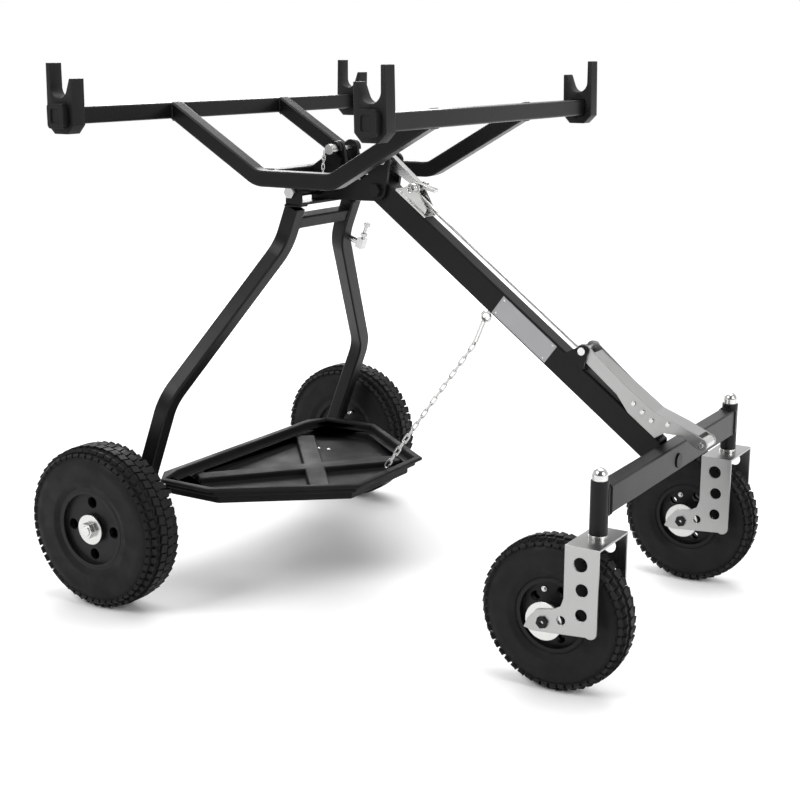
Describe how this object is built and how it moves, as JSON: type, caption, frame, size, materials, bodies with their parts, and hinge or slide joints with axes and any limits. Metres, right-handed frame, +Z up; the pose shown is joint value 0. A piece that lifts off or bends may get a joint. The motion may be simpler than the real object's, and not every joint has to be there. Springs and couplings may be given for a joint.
{
  "type": "kart trolley",
  "caption": "Folding one-person kart stand: tilting cradle with forks on splayed rear legs with wheels, a folding front leg on swivel casters, a foot release and a parts tray.",
  "frame": {"origin": "on the floor under the middle of the object's box", "axes": "+X forward, toward the folding leg and its casters; +Z up"},
  "size_m": [0.9888, 0.792, 0.837],
  "materials": {
    "frame_black": "satin black powder coat",
    "zinc": "bright zinc plate",
    "fork_plastic": "moulded nylon",
    "rim_plastic": "moulded nylon, fine grain",
    "tyre_rubber": "moulded rubber",
    "tray_plastic": "vacuum-formed, grained",
    "label": "blank plate"
  },
  "bodies": {
    "frame": {"hub_bracket": "frame_black", "hub_arms": "frame_black", "rear_leg_left": "frame_black", "rear_leg_right": "frame_black", "spreader_bar": "frame_black", "tray_tube_bar": "frame_black", "stub_axles": "zinc", "rear_axle_nuts": "zinc", "leg_stop": "zinc", "cradle_bolt": "zinc", "leg_bolt": "zinc", "catch_pin": "zinc", "lock_pin_chain": "zinc"},
    "cradle": {"rear_rail": "frame_black", "front_rail": "frame_black", "cradle_tube_left": "frame_black", "cradle_tube_right": "frame_black", "cradle_cross_tube": "frame_black", "cradle_lugs": "frame_black", "fork_rear_left": "fork_plastic", "fork_rear_right": "fork_plastic", "fork_front_left": "fork_plastic", "fork_front_right": "fork_plastic", "rail_caps": "fork_plastic"},
    "lock_pin": {"lock_pin": "zinc"},
    "front_leg": {"front_leg": "frame_black", "leg_bush": "zinc", "caster_crossbar": "frame_black", "head_tubes": "frame_black", "crossbar_plug": "fork_plastic", "label_plate": "label", "eye_bolt": "zinc", "latch_body": "zinc", "claw_pin": "zinc", "pedal_ears": "frame_black", "pedal_pin": "zinc"},
    "pedal": {"pedal_link": "zinc", "pedal_nose": "zinc", "pedal_rivets": "zinc"},
    "latch_rod": {"latch_rod": "zinc", "rod_sleeve": "zinc"},
    "claw": {"latch_claw": "zinc"},
    "caster_fork_left": {"caster_fork_left": "zinc", "caster_stem_left": "zinc", "caster_axle_left": "zinc"},
    "caster_fork_right": {"caster_fork_right": "zinc", "caster_stem_right": "zinc", "caster_axle_right": "zinc"},
    "caster_wheel_left": {"caster_rim_left": "rim_plastic", "caster_tyre_left": "tyre_rubber"},
    "caster_wheel_right": {"caster_rim_right": "rim_plastic", "caster_tyre_right": "tyre_rubber"},
    "rear_wheel_left": {"rear_rim_left": "rim_plastic", "rear_tyre_left": "tyre_rubber"},
    "rear_wheel_right": {"rear_rim_right": "rim_plastic", "rear_tyre_right": "tyre_rubber"},
    "tray": {"tray": "tray_plastic", "tray_clips": "frame_black"},
    "chain": {"tray_chain": "zinc", "snap_hook": "zinc"}
  },
  "joints": [
    {"name": "cradle_tilt", "type": "hinge", "parent": "frame", "child": "cradle", "pos_m": [-0.177, 0, 0.638], "axis": [0, -1, 0], "range_deg": [0, 75]},
    {"name": "lock_pin_pull", "type": "slide", "parent": "frame", "child": "lock_pin", "axis": [0, -1, 0], "range_m": [0, 0.07]},
    {"name": "leg_fold", "type": "hinge", "parent": "frame", "child": "front_leg", "pos_m": [-0.064, 0, 0.641], "axis": [0, 1, 0], "range_deg": [0, 45]},
    {"name": "pedal_press", "type": "hinge", "parent": "front_leg", "child": "pedal", "pos_m": [0.29769, 0, 0.42321], "axis": [0, 1, 0], "range_deg": [0, 5.5], "stiffness_Nm_per_rad": 25, "springref_deg": -3.44},
    {"name": "rod_push", "type": "slide", "parent": "front_leg", "child": "latch_rod", "axis": [-0.7997, 0, 0.6004], "range_m": [0, 0.00097]},
    {"name": "claw_lift", "type": "hinge", "parent": "front_leg", "child": "claw", "pos_m": [0.0008, 0, 0.64737], "axis": [0, 1, 0], "range_deg": [0, 5.1]},
    {"name": "tray_drop", "type": "hinge", "parent": "frame", "child": "tray", "pos_m": [-0.362, 0, 0.15], "axis": [0, -1, 0], "range_deg": [-25, 0]},
    {"name": "chain_swing", "type": "hinge", "parent": "front_leg", "child": "chain", "pos_m": [0.1219, 0, 0.4522], "axis": [0, 1, 0], "range_deg": [0, 20]},
    {"name": "rear_spin_left", "type": "hinge", "parent": "frame", "child": "rear_wheel_left", "pos_m": [-0.364, -0.347, 0.13], "axis": [0, 1, 0], "continuous": true},
    {"name": "caster_swivel_left", "type": "hinge", "parent": "front_leg", "child": "caster_fork_left", "pos_m": [0.434, -0.251, 0.225], "axis": [0, 0, 1], "continuous": true},
    {"name": "caster_spin_left", "type": "hinge", "parent": "caster_fork_left", "child": "caster_wheel_left", "pos_m": [0.378, -0.251, 0.11], "axis": [0, 1, 0], "continuous": true},
    {"name": "rear_spin_right", "type": "hinge", "parent": "frame", "child": "rear_wheel_right", "pos_m": [-0.364, 0.347, 0.13], "axis": [0, 1, 0], "continuous": true},
    {"name": "caster_swivel_right", "type": "hinge", "parent": "front_leg", "child": "caster_fork_right", "pos_m": [0.434, 0.251, 0.225], "axis": [0, 0, 1], "continuous": true},
    {"name": "caster_spin_right", "type": "hinge", "parent": "caster_fork_right", "child": "caster_wheel_right", "pos_m": [0.378, 0.251, 0.11], "axis": [0, 1, 0], "continuous": true}
  ],
  "couplings": [
    {"joint": "rod_push", "follows": "pedal_press", "m_per_rad": 0.01},
    {"joint": "claw_lift", "follows": "pedal_press", "ratio": 0.9091}
  ]
}
